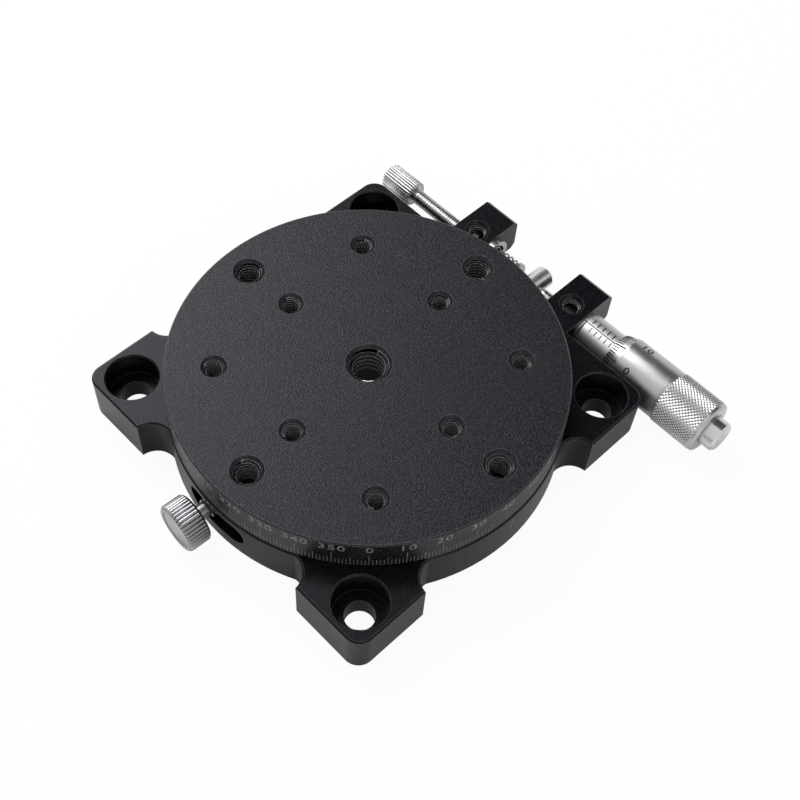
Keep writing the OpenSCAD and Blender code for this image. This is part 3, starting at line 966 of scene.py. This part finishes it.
@dataclass
class TableTop(Assembly):
    """The round table, its tapped holes and the dial round its rim."""

    plain = {"table": Finishes.TOP}
    angle: float = 4.1
    radius: float = 30.0
    top: float = 14.0
    m4_circle_r: float = 25.0
    m3_circle_r: float = 16.0
    m3_corner_r: float = 22.627
    zero_at: float = -43.1
    tick_foot: float = 8.35
    tick_tops: Triple = (9.75, 10.45, 11.3)
    tick_width: float = 0.11
    numeral_z: float = 12.75
    numeral_h: float = 1.5
    numeral_thick: float = 0.04
    numeral_wide: float = 1.15
    numeral_bold: float = 0.02
    numeral_gap: float = 2.6

    def thread(self, name: str, size: float, depth: float) -> Piece:
        """Make the thread of one of the table's holes, about Z."""
        return self.bench.tapped(name, size, self.top, depth, mouth=0.45, run_out=0.95)

    def build_threads(self) -> Piece:
        """Make the threads of the thirteen holes as one piece.

        Returns:
            The threads.
        """
        parts = [self.thread("centre_thread", 6.0, 5.7)]
        m4 = self.thread("outer_thread", 4.0, 5.8)
        m3 = self.thread("inner_thread", 3.0, 5.9)
        for turn in range(4):
            for pattern, radius, past in ((m4, self.m4_circle_r, 0.0), (m3, self.m3_circle_r, 0.0),
                                          (m3, self.m3_corner_r, 45.0)):
                place = Matrix.Translation((radius * MM, 0.0, 0.0))
                parts.append(self.bench.copy(pattern, spun(self.angle + 90 * turn + past) @ place))
        self.bench.drop(m4, m3)
        return self.bench.join("table_threads", parts)

    def build_ticks(self) -> Piece:
        """Make the dial's 360 degree marks, longer at every fifth and tenth.

        Returns:
            All of them as one piece.
        """
        half = self.tick_width / 2
        rows = []
        foot = self.tick_foot
        for count, top in zip((360, 72, 36), self.tick_tops):
            row = self.bench.bar(f"marks_{count}", (self.radius - SUNK, -half, foot),
                                 (self.radius + PROUD, half, top))
            self.bench.round_copies(row, count)
            rows.append(row)
            foot = top
        return self.bench.put(self.bench.join("dial_marks", rows), spun(self.zero_at))

    def build_numerals(self) -> Piece:
        """Make the dial's numerals, 0 to 350, which grow with the azimuth.

        Returns:
            All of them as one piece.
        """
        digits = {d: self.bench.glyph(d, self.numeral_h, self.numeral_thick, self.numeral_wide,
                                      self.numeral_bold) for d in "0123456789"}
        stand = Matrix(((0, 0, 1), (1, 0, 0), (0, 1, 0))).to_4x4()
        out = Matrix.Translation(((self.radius + PROUD - SUNK) * MM, 0.0, self.numeral_z * MM))
        parts = []
        for label in range(0, 360, 10):
            text = str(label)
            for i, digit in enumerate(text):
                azimuth = self.zero_at + label + (i - (len(text) - 1) / 2) * self.numeral_gap
                parts.append(self.bench.copy(digits[digit], spun(azimuth) @ out @ stand))
        self.bench.drop(*digits.values())
        return self.bench.join("dial_numerals", parts)

    def make(self) -> None:
        """Make the table's threads and dial."""
        for piece, look in ((self.build_threads(), Finishes.TAPPED),
                            (self.build_ticks(), Finishes.DIAL),
                            (self.build_numerals(), Finishes.DIAL)):
            self.bench.finish(piece, look, Body.TABLE, Slot.BLACK)


@dataclass
class FootedBase(Assembly):
    """The base with its four feet and two lugs, and the index line under the dial."""

    plain = {"base": Finishes.BODY}
    wall_r: float = 30.2
    index_z: tuple[float, float] = (3.3, 7.1)
    index_width: float = 0.16
    top: float = 8.0
    lug_x: float = 10.4
    lug_y: float = 34.6
    lug_hole_depth: float = 3.3

    def build_index(self) -> Piece:
        """Make the engraved line that the dial is read against."""
        half = self.index_width / 2
        return self.bench.bar("index_line", (self.wall_r - LINE_SUNK, -half, self.index_z[0]),
                              (self.wall_r + PROUD, half, self.index_z[1]))

    def build_threads(self) -> Piece:
        """Make the threads of the two empty lug holes.

        Returns:
            Both as one piece.
        """
        pattern = self.bench.tapped("lug_thread", 3.0, self.top, self.lug_hole_depth, mouth=0.5,
                                    run_out=0.9)
        parts = [self.bench.copy(pattern, Matrix.Translation((x * MM, self.lug_y * MM, 0.0)))
                 for x in (-self.lug_x, self.lug_x)]
        self.bench.drop(pattern)
        return self.bench.join("lug_threads", parts)

    def make(self) -> None:
        """Make the base's line and threads."""
        self.bench.finish(self.build_index(), Finishes.DIAL, Body.BASE, Slot.BLACK)
        self.bench.finish(self.build_threads(), Finishes.TAPPED, Body.BASE, Slot.BLACK)


@dataclass
class ThumbScrew:
    """A screw with a knurled head, about Z: a threaded shank, then the head's rounded teeth.

    The neck is the plain length above the thread and its radius. The teeth are as deep as
    tooth. Each has six points, and flutes gives the share of that depth for five of them. The
    head's outer face is dished between the two shares of its radius.
    """

    bench: Bench
    name: str
    diameter: float
    shank: tuple[float, float]
    neck: tuple[float, float]
    head: tuple[float, float]
    head_d: float
    teeth: int
    tooth: float
    bevel: float
    points: ClassVar[int] = 6
    flutes: ClassVar[dict[int, float]] = {3: 1.0, 2: 0.3, 4: 0.3, 1: 0.06, 5: 0.06}
    dish: ClassVar[tuple[float, float]] = (0.88, 0.84)
    ease: ClassVar[float] = 0.12

    def build_shank(self) -> list[Piece]:
        """Make the shank's core, its ridge and its plain neck.

        Returns:
            The three pieces.
        """
        pitch = COARSE_PITCH[self.diameter]
        r = self.diameter / 2
        core = r - 0.6 * pitch
        low, high = self.shank
        reach, neck_r = self.neck
        parts = [
            self.bench.turned("core", [(low, core - 0.1), (low + self.ease, core), (high, core)],
                              sides=48),
            self.bench.ridge("ridge", core - 0.03, r, pitch, low + 0.55 * pitch,
                             high - low - 1.1 * pitch, shares=(0.86, 0.16), steps=32),
            self.bench.turned("neck", [(high - 0.1, neck_r - self.ease), (high, neck_r),
                                       (high + reach + 0.3, neck_r)], sides=64),
        ]
        for part in parts:
            self.bench.smooth(part, 32.0)
        return parts

    def build_head(self) -> Piece:
        """Make the head: a toothed ring extruded, with both ends bevelled and faced.

        Returns:
            The head.
        """
        low, high = self.head
        r = self.head_d / 2
        face_r = r - self.bevel
        sides = self.teeth * self.points
        piece = self.bench.circle("head", r, sides, low + self.bevel)
        for flute, share in self.flutes.items():
            self.bench.pick(lambda co, i, k=flute: i % self.points == k)
            scale = 1.0 - self.tooth * share / r
            self.bench.resize(scale, scale, 1.0)
        self.bench.select_all()
        self.bench.walk([(low + self.bevel, r), (high - self.bevel, r), (high, face_r),
                         (high, face_r * self.dish[0]),
                         (high - self.ease, face_r * self.dish[1])])
        bpy.ops.mesh.edge_face_add()
        self.bench.pick(lambda co, i: i < sides)
        self.bench.walk([(low + self.bevel, r), (low, face_r)])
        bpy.ops.mesh.edge_face_add()
        self.bench.close()
        self.bench.smooth(piece, 28.0)
        return piece

    def build(self) -> Piece:
        """Make the whole screw, about Z."""
        return self.bench.join(self.name, [self.build_head(), *self.build_shank()])


@dataclass
class ClampSide(Assembly):
    """The clamp ring, its drive pin and pad, and the lock screw through the base's slot."""

    plain = {"clamp_ring": Finishes.RING, "drive_pin": Finishes.PIN, "clamp_pad": Finishes.BRASS}
    tip_r: float = 21.35
    thread_end: float = 30.6
    knob_r: tuple[float, float] = (32.0, 35.7)
    knob_d: float = 7.7
    neck_r: float = 1.2

    def make(self) -> None:
        """Make the lock screw."""
        screw = ThumbScrew(
            self.bench, "lock_screw_knurled", diameter=3.0, shank=(self.tip_r, self.thread_end),
            neck=(self.knob_r[0] - self.thread_end, self.neck_r), head=self.knob_r,
            head_d=self.knob_d, teeth=40, tooth=0.24, bevel=0.35).build()
        self.bench.finish(self.bench.put(screw, LOCK), Finishes.RADIAL, Body.LOCK, Slot.CHROME,
                          "lock_screw")


@dataclass
class Micrometer(Assembly):
    """The graduated sleeve, and the thimble with its divisions, numerals and diamond knurl."""

    plain = {
        "micrometer_sleeve": Finishes.SLEEVE, "adjusting_nut": Finishes.STEEL,
        "spindle": Finishes.POLISHED, "spindle_tip": Finishes.POLISHED,
        "thimble_cap": Finishes.POLISHED_CAP,
    }
    sleeve_r: float = 3.2
    front: float = 20.2
    front_r: float = 3.5
    bevel_end: float = 22.4
    body_r: float = 4.3
    swell: float = 0.015
    groove: float = 0.07
    bore_r: float = 3.3
    bore_end: float = 33.0
    knurl: tuple[float, float] = (31.25, 38.75)
    knurl_r: float = 4.5
    diamonds: int = 44
    rows: int = 24
    diamond_h: float = 0.12
    end: float = 39.3
    end_r: float = 2.75
    end_sunk: float = 0.15
    hole_r: float = 1.25
    ease: float = 0.12
    divisions: int = 50
    division_half: float = 0.1
    division_end: float = 1.25
    fifth_half: float = 0.13
    fifth_end: float = 2.3
    zero_angle: float = 48.0
    line_angle: float = 12.3
    line_x: tuple[float, float] = (13.9, 20.4)
    line_half: float = 0.07
    marks: int = 5
    first_mark: float = 15.2
    half_mark: float = 0.45
    mark_arc: Triple = (0.2, -11.0, 7.0)
    half_arc: Triple = (0.14, 17.0, 33.0)
    numeral_x: float = 24.6
    numeral_h: float = 1.35
    numeral_wide: float = 1.05
    numeral_bold: float = 0.03
    numeral_gap: float = 1.1
    numeral_cuts: int = 7

    def build_thimble(self) -> Piece:
        """Make the thimble as one tube, with its knurled band raised point by point.

        Returns:
            The thimble, about Z.
        """
        low, high = self.knurl
        step = (high - low) / self.rows
        valley = self.knurl_r - self.diamond_h
        swollen, sunk = self.body_r + self.swell, self.body_r - self.groove
        band = [(low + i * step, valley) for i in range(self.rows + 1)]
        profile = [
            (self.bore_end, self.hole_r), (self.bore_end, self.bore_r),
            (self.front, self.bore_r), (self.front, self.front_r - 0.04),
            (self.front + 0.05, self.front_r), (self.bevel_end, self.body_r),
            (self.bevel_end + self.ease, swollen), (low - 0.35, swollen),
            (low - 0.3, sunk), (low - self.ease, sunk), *band,
            (high + 0.25, self.knurl_r - self.ease), (self.end - self.ease, self.knurl_r - 0.3),
            (self.end, self.knurl_r - 0.52), (self.end, self.end_r),
            (self.end - self.end_sunk, self.end_r - 0.05),
            (self.end - self.end_sunk, self.hole_r), (self.bore_end, self.hole_r),
        ]
        piece = self.bench.circle("thimble_knurled", self.hole_r, 2 * self.diamonds,
                                  self.bore_end)
        self.bench.walk(profile)

        def peak(co: Vector, _: int) -> bool:
            """Tell whether a point is one of the diamonds' tops."""
            row = (co.z / MM - low) / step
            if not 0.5 < row < self.rows - 0.5 or abs(co.to_2d().length / MM - valley) > 0.002:
                return False
            column = round(math.atan2(co.y, co.x) / (math.pi / self.diamonds))
            return (round(row) + column) % 2 == 0

        self.bench.pick(peak)
        share = self.knurl_r / valley
        self.bench.resize(share, share, 1.0)
        self.bench.pick(lambda co, i: low - 0.01 < co.z / MM < high + 0.01
                        and co.to_2d().length > (self.knurl_r - 0.2) * MM)
        bpy.ops.mesh.quads_convert_to_tris(quad_method="SHORTEST_DIAGONAL",
                                           ngon_method="BEAUTY")
        self.bench.close(0.0005)
        self.bench.smooth(piece, 18.0)
        return piece

    def build_divisions(self) -> Piece:
        """Make the fifty divisions on the thimble's bevel, every fifth one longer.

        Returns:
            The divisions, about Z.
        """
        slope = math.atan2(self.body_r - self.front_r, self.bevel_end - self.front)
        lean = (Matrix.Translation((self.front_r * MM, 0.0, self.front * MM))
                @ Matrix.Rotation(slope, 4, "Y"))
        rows = []
        for count, half, end in ((self.divisions, self.division_half, self.division_end),
                                 (self.divisions // 5, self.fifth_half, self.fifth_end)):
            row = self.bench.bar(f"divisions_{count}", (-LINE_SUNK, -half, 0.06),
                                 (PROUD, half, end))
            self.bench.put(row, lean)
            self.bench.round_copies(row, count)
            rows.append(row)
        marks = self.bench.join("thimble_divisions", rows)
        return self.bench.put(marks, spun(self.zero_angle))

    def wrapped(self, digit: str, along: float, angle: float, thimble: Piece) -> Piece:
        """Make one numeral that follows the thimble's round side.

        Args:
            digit: The numeral.
            along: Its middle's place along the axis.
            angle: Its middle's angle about the axis, in degrees.
            thimble: The thimble, about Z, that it lies on.

        Returns:
            The numeral, about Z.
        """
        piece = self.bench.glyph(digit, self.numeral_h, 0.0, self.numeral_wide, self.numeral_bold)
        bpy.ops.object.mode_set(mode="EDIT")
        for i in range(-(self.numeral_cuts // 2), self.numeral_cuts // 2 + 1):
            self.bench.select_all()
            bpy.ops.mesh.bisect(plane_co=(0.0, i * self.numeral_h / self.numeral_cuts * MM, 0.0),
                                plane_no=(0.0, 1.0, 0.0))
        bpy.ops.object.mode_set(mode="OBJECT")
        stand = Matrix(((0, 0, 1), (0, -1, 0), (1, 0, 0))).to_4x4()
        out = Matrix.Translation(((self.body_r + 0.2) * MM, 0.0, along * MM))
        self.bench.put(piece, spun(angle) @ out @ stand)
        wrap = piece.modifiers.new("wrap", "SHRINKWRAP")
        wrap.target = thimble
        wrap.wrap_method = "NEAREST_SURFACEPOINT"
        wrap.wrap_mode = "ABOVE_SURFACE"
        wrap.offset = PROUD * MM
        bpy.ops.object.modifier_apply(modifier=wrap.name)
        return piece

    def build_numerals(self, thimble: Piece) -> Piece:
        """Make the thimble's numerals, 0 to 40, each beside its long division.

        Args:
            thimble: The thimble, about Z.

        Returns:
            The numerals, about Z.
        """
        parts = []
        for i, text in enumerate(("0", "10", "20", "30", "40")):
            for k, digit in enumerate(text):
                along = self.numeral_x + (k - (len(text) - 1) / 2) * self.numeral_gap
                parts.append(self.wrapped(digit, along, self.zero_angle - 72.0 * i, thimble))
        return self.bench.join("thimble_numerals", parts)

    def arc(self, along: float, width: float, start: float, end: float) -> Piece:
        """Make a mark that runs round the sleeve.

        Args:
            along: Its place along the axis.
            width: Its width.
            start: Angle where it starts, in degrees.
            end: Angle where it ends.

        Returns:
            The mark, about Z.
        """
        piece = self.bench.square("sleeve_mark")
        self.bench.raise_up()
        self.bench.resize(0.04 * MM, 1.0, width * MM)
        self.bench.shift(self.sleeve_r + PROUD - SUNK, 0.0, along)
        bpy.ops.mesh.spin(steps=6, angle=math.radians(end - start), center=ORIGIN,
                          axis=(0.0, 0.0, -1.0))
        self.bench.select_all()
        bpy.ops.mesh.fill_holes(sides=4)
        self.bench.close(0.0002)
        return self.bench.put(piece, spun(start))

    def build_scale(self) -> Piece:
        """Make the sleeve's line, its millimetre marks and the half millimetres below.

        Returns:
            The scale, about Z.
        """
        half = self.line_half
        line = self.bench.bar("sleeve_line", (self.sleeve_r - LINE_SUNK, -half, self.line_x[0]),
                              (self.sleeve_r + PROUD, half, self.line_x[1]))
        parts = [self.bench.put(line, spun(self.line_angle))]
        for i in range(self.marks):
            parts.append(self.arc(self.first_mark + i, *self.mark_arc))
            parts.append(self.arc(self.first_mark + self.half_mark + i, *self.half_arc))
        return self.bench.join("sleeve_scale", parts)

    def make(self) -> None:
        """Make the thimble and the marks on it and on the sleeve."""
        thimble = self.build_thimble()
        numerals = self.build_numerals(thimble)
        for piece, look, body, *stands_for in (
            (thimble, Finishes.KNURL, Body.THIMBLE, "thimble"),
            (numerals, Finishes.SCALE, Body.THIMBLE),
            (self.build_divisions(), Finishes.SCALE, Body.THIMBLE),
            (self.build_scale(), Finishes.SCALE, Body.BASE),
        ):
            self.bench.put(piece, DRIVE)
            self.bench.finish(piece, look, body, Slot.CHROME, *stands_for)


@dataclass
class SpringSide(Assembly):
    """The drive spring between its two plates, its bush, and the screw that loads it."""

    plain = {
        "spring_bush": Finishes.STEEL, "spring_seat": Finishes.BLACK_STEEL,
        "spring_cap": Finishes.STEEL,
    }
    wire_r: float = 0.16
    coil_r: float = 1.84
    ends: tuple[float, float] = (-9.27, -1.96)
    turns: float = 7.5
    closed_coil: float = -10.12
    shank: tuple[float, float] = (10.93, 24.4)
    neck: tuple[float, float] = (0.1, 1.05)
    head: tuple[float, float] = (24.6, 30.9)
    head_d: float = 4.4

    def build_spring(self) -> Piece:
        """Wind the spring from a ring of wire.

        Returns:
            The spring, about Z.
        """
        piece = self.bench.circle("drive_spring_wound", self.wire_r, 12)
        self.bench.raise_up()
        self.bench.shift(self.coil_r, 0.0, self.ends[0])
        self.bench.wind(piece, (self.ends[1] - self.ends[0]) / self.turns, self.turns, 40)
        self.bench.smooth(piece, 50.0)
        return piece

    def build_closed_coil(self) -> Piece:
        """Make the closed coil that lies on the spring's seat and moves with it.

        Returns:
            The coil, about Z.
        """
        self.bench.clear()
        bpy.ops.mesh.primitive_torus_add(
            align="WORLD", location=ORIGIN, major_segments=80, minor_segments=12,
            major_radius=self.coil_r * MM, minor_radius=self.wire_r * MM)
        piece = self.bench.open("drive_spring_closed_coil")
        self.bench.shift(0.0, 0.0, self.closed_coil)
        self.bench.close()
        self.bench.smooth(piece, 50.0)
        return piece

    def build_screw(self) -> Piece:
        """Make the spring screw, about Z, with its head at the low end."""
        screw = ThumbScrew(
            self.bench, "spring_screw_knurled", diameter=2.5, shank=self.shank, neck=self.neck,
            head=self.head, head_d=self.head_d, teeth=26, tooth=0.2, bevel=0.3).build()
        return self.bench.put(screw, Matrix.Rotation(math.pi, 4, "X"))

    def make(self) -> None:
        """Make the spring and its screw."""
        spring = self.bench.put(self.build_spring(), DRIVE)
        self.bench.coat(spring, Finishes.WIRE)
        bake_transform(spring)
        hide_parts("drive_spring")
        coil = self.bench.put(self.build_closed_coil(), DRIVE)
        self.bench.finish(coil, Finishes.WIRE, Body.SPRING_SEAT, Slot.SPRING)
        screw = self.bench.put(self.build_screw(), DRIVE)
        self.bench.finish(screw, Finishes.STEEL, Body.SPRING_SCREW, Slot.CHROME, "spring_screw")


@dataclass
class Bearing(Assembly):
    """The ball bearing, its spigot, retainer and screws, which the base and table cover."""

    plain = {
        "bearing_spigot": Finishes.BLACK_STEEL, "spigot_screws": Finishes.POLISHED,
        "bearing_inner_race": Finishes.POLISHED, "bearing_outer_race": Finishes.POLISHED,
        "bearing_balls": Finishes.POLISHED, "bearing_cage": Finishes.BRASS,
        "bearing_retainer": Finishes.BODY,
    }


# ---------------------------------------------------------------- the studio


@dataclass(frozen=True)
class Fixture:
    """Something that hangs in the studio and faces the stage. Its sizes are in metres."""

    name: str
    azimuth: float
    elevation: float
    distance: float
    size: float
    strength: float

    def out(self) -> Vector:
        """Give the direction from the stage to it."""
        a, e = math.radians(self.azimuth), math.radians(self.elevation)
        return Vector((math.cos(e) * math.cos(a), math.cos(e) * math.sin(a), math.sin(e)))


@dataclass(frozen=True)
class Softbox(Fixture):
    """A soft lamp."""

    def hang(self, bench: Bench) -> None:
        """Add the lamp.

        Args:
            bench: The bench that is cleared for it.
        """
        bench.clear()
        bpy.ops.object.light_add(type="AREA", location=self.out() * self.distance)
        lamp = bpy.context.object
        lamp.name = self.name
        lamp.rotation_euler = self.out().to_track_quat("Z", "Y").to_euler()
        lamp.data.shape = "SQUARE"
        lamp.data.size = self.size
        lamp.data.energy = self.strength


@dataclass(frozen=True)
class Card(Fixture):
    """A grey card that only reflections show, so that metal has something dark to mirror."""

    def hang(self, bench: Bench) -> None:
        """Add the card.

        Args:
            bench: The bench that it is made on.
        """
        card = bench.square(self.name, self.size)
        bpy.ops.mesh.subdivide(number_cuts=3)
        bpy.ops.object.mode_set(mode="OBJECT")
        turned = self.out().to_track_quat("Z", "Y").to_matrix().to_4x4()
        bench.put(card, Matrix.Translation(self.out() * self.distance) @ turned)
        g = Graph(bpy.data.materials.new(self.name))
        g.show(g.glow("ShaderNodeEmission", self.strength))
        card.data.materials.append(g.owner)
        card.visible_camera = card.visible_diffuse = card.visible_shadow = False
        card.visible_transmission = False


@dataclass
class Studio:
    """A plain pale floor, soft lamps, a white background and the camera."""

    bench: Bench
    azimuth: float = 42.047
    elevation: float = 56.5
    distance: float = 186.824
    target: Triple = (7.748, -1.156, 14.0)
    roll: float = 4.613
    lens: float = 58.309
    sensor: float = 36.0
    clip: tuple[float, float] = (0.001, 10.0)
    floor_side: float = 3.0
    floor_drop: float = 0.02
    floor_pale: float = 0.9
    floor_white: float = 0.94
    floor_mirrored: float = 0.2
    sky_mirrored: float = 0.6
    sky: float = 0.5
    fixtures: tuple[Softbox | Card, ...] = (
        Softbox("softbox_left", 172.0, 49.0, 0.6, 0.4, 2.8),
        Softbox("softbox_front", -20.0, 35.0, 0.7, 0.3, 0.55),
        Card("card_right", 97.0, 50.0, 0.8, 0.9, 0.06),
    )

    def seen(self, g: Graph, straight: float, mirrored: float) -> Socket:
        """Tell how white the background is to each kind of ray.

        Args:
            g: The graph that it is added to.
            straight: Share of white for the camera's own rays.
            mirrored: Share of white for rays off or through a surface.

        Returns:
            The share, which is 0 for the rays that only light the object.
        """
        rays = g.add("ShaderNodeLightPath").outputs
        total, *rest = (
            g.sum_up("MULTIPLY", rays[kind], share)
            for kind, share in (("Is Camera Ray", straight), ("Is Glossy Ray", mirrored),
                                ("Is Transmission Ray", mirrored)))
        for part in rest:
            total = g.sum_up("MAXIMUM", total, part)
        return total

    def lay_floor(self) -> None:
        """Lay the floor, white to the rays that show it and pale to the rest."""
        self.bench.clear()
        bpy.ops.mesh.primitive_grid_add(x_subdivisions=8, y_subdivisions=8, size=self.floor_side,
                                        location=ORIGIN)
        floor = self.bench.open("floor")
        self.bench.shift(0.0, 0.0, -self.floor_drop)
        bpy.ops.object.mode_set(mode="OBJECT")
        g = Graph(bpy.data.materials.new("pale_floor"))
        pale = g.add("ShaderNodeBsdfDiffuse", {"Color": (*[self.floor_pale] * 3, 1.0)})
        g.show_mixed(self.seen(g, self.floor_white, self.floor_mirrored), pale.outputs["BSDF"],
                     g.glow("ShaderNodeEmission", 1.0))
        floor.data.materials.append(g.owner)

    def light_world(self) -> None:
        """Set the world: white to the rays that show it, grey light to the rest."""
        bpy.context.scene.world = bpy.data.worlds.new("studio")
        g = Graph(bpy.context.scene.world, "ShaderNodeOutputWorld")
        g.show_mixed(self.seen(g, 1.0, self.sky_mirrored),
                     g.glow("ShaderNodeBackground", self.sky),
                     g.glow("ShaderNodeBackground", 1.0))

    def set_camera(self) -> None:
        """Add the camera, aimed and rolled."""
        a, e, r = (math.radians(v) for v in (self.azimuth, self.elevation, self.roll))
        back = Vector((math.sin(a) * math.cos(e), -math.cos(a) * math.cos(e), math.sin(e)))
        level = Vector((math.cos(a), math.sin(a), 0.0))
        upright = back.cross(level)
        right = math.cos(r) * level + math.sin(r) * upright
        up = math.cos(r) * upright - math.sin(r) * level
        place = (Vector(self.target) + back * self.distance) * MM
        bpy.ops.object.camera_add(location=ORIGIN)
        camera = bpy.context.object
        camera.name = "camera"
        turned = Matrix((right, up, back)).transposed().to_4x4()
        camera.matrix_world = Matrix.Translation(place) @ turned
        camera.data.lens = self.lens
        camera.data.sensor_width = self.sensor
        camera.data.clip_start, camera.data.clip_end = self.clip
        bpy.context.scene.camera = camera
        bpy.context.scene.view_settings.view_transform = "Standard"

    def build(self) -> None:
        """Set up the floor, the fixtures, the world and the camera."""
        self.lay_floor()
        for fixture in self.fixtures:
            fixture.hang(self.bench)
        self.light_world()
        self.set_camera()


def main() -> None:
    """Build every sub-assembly in order, then the studio."""
    logging.basicConfig(level=logging.INFO, format="%(name)s: %(message)s")
    bench = Bench()
    for assembly in (FootedBase, Bearing, TableTop, ClampSide, Micrometer, SpringSide):
        assembly(bench).build()
    Studio(bench).build()
    bench.clear()


if __name__ == "__main__":
    main()
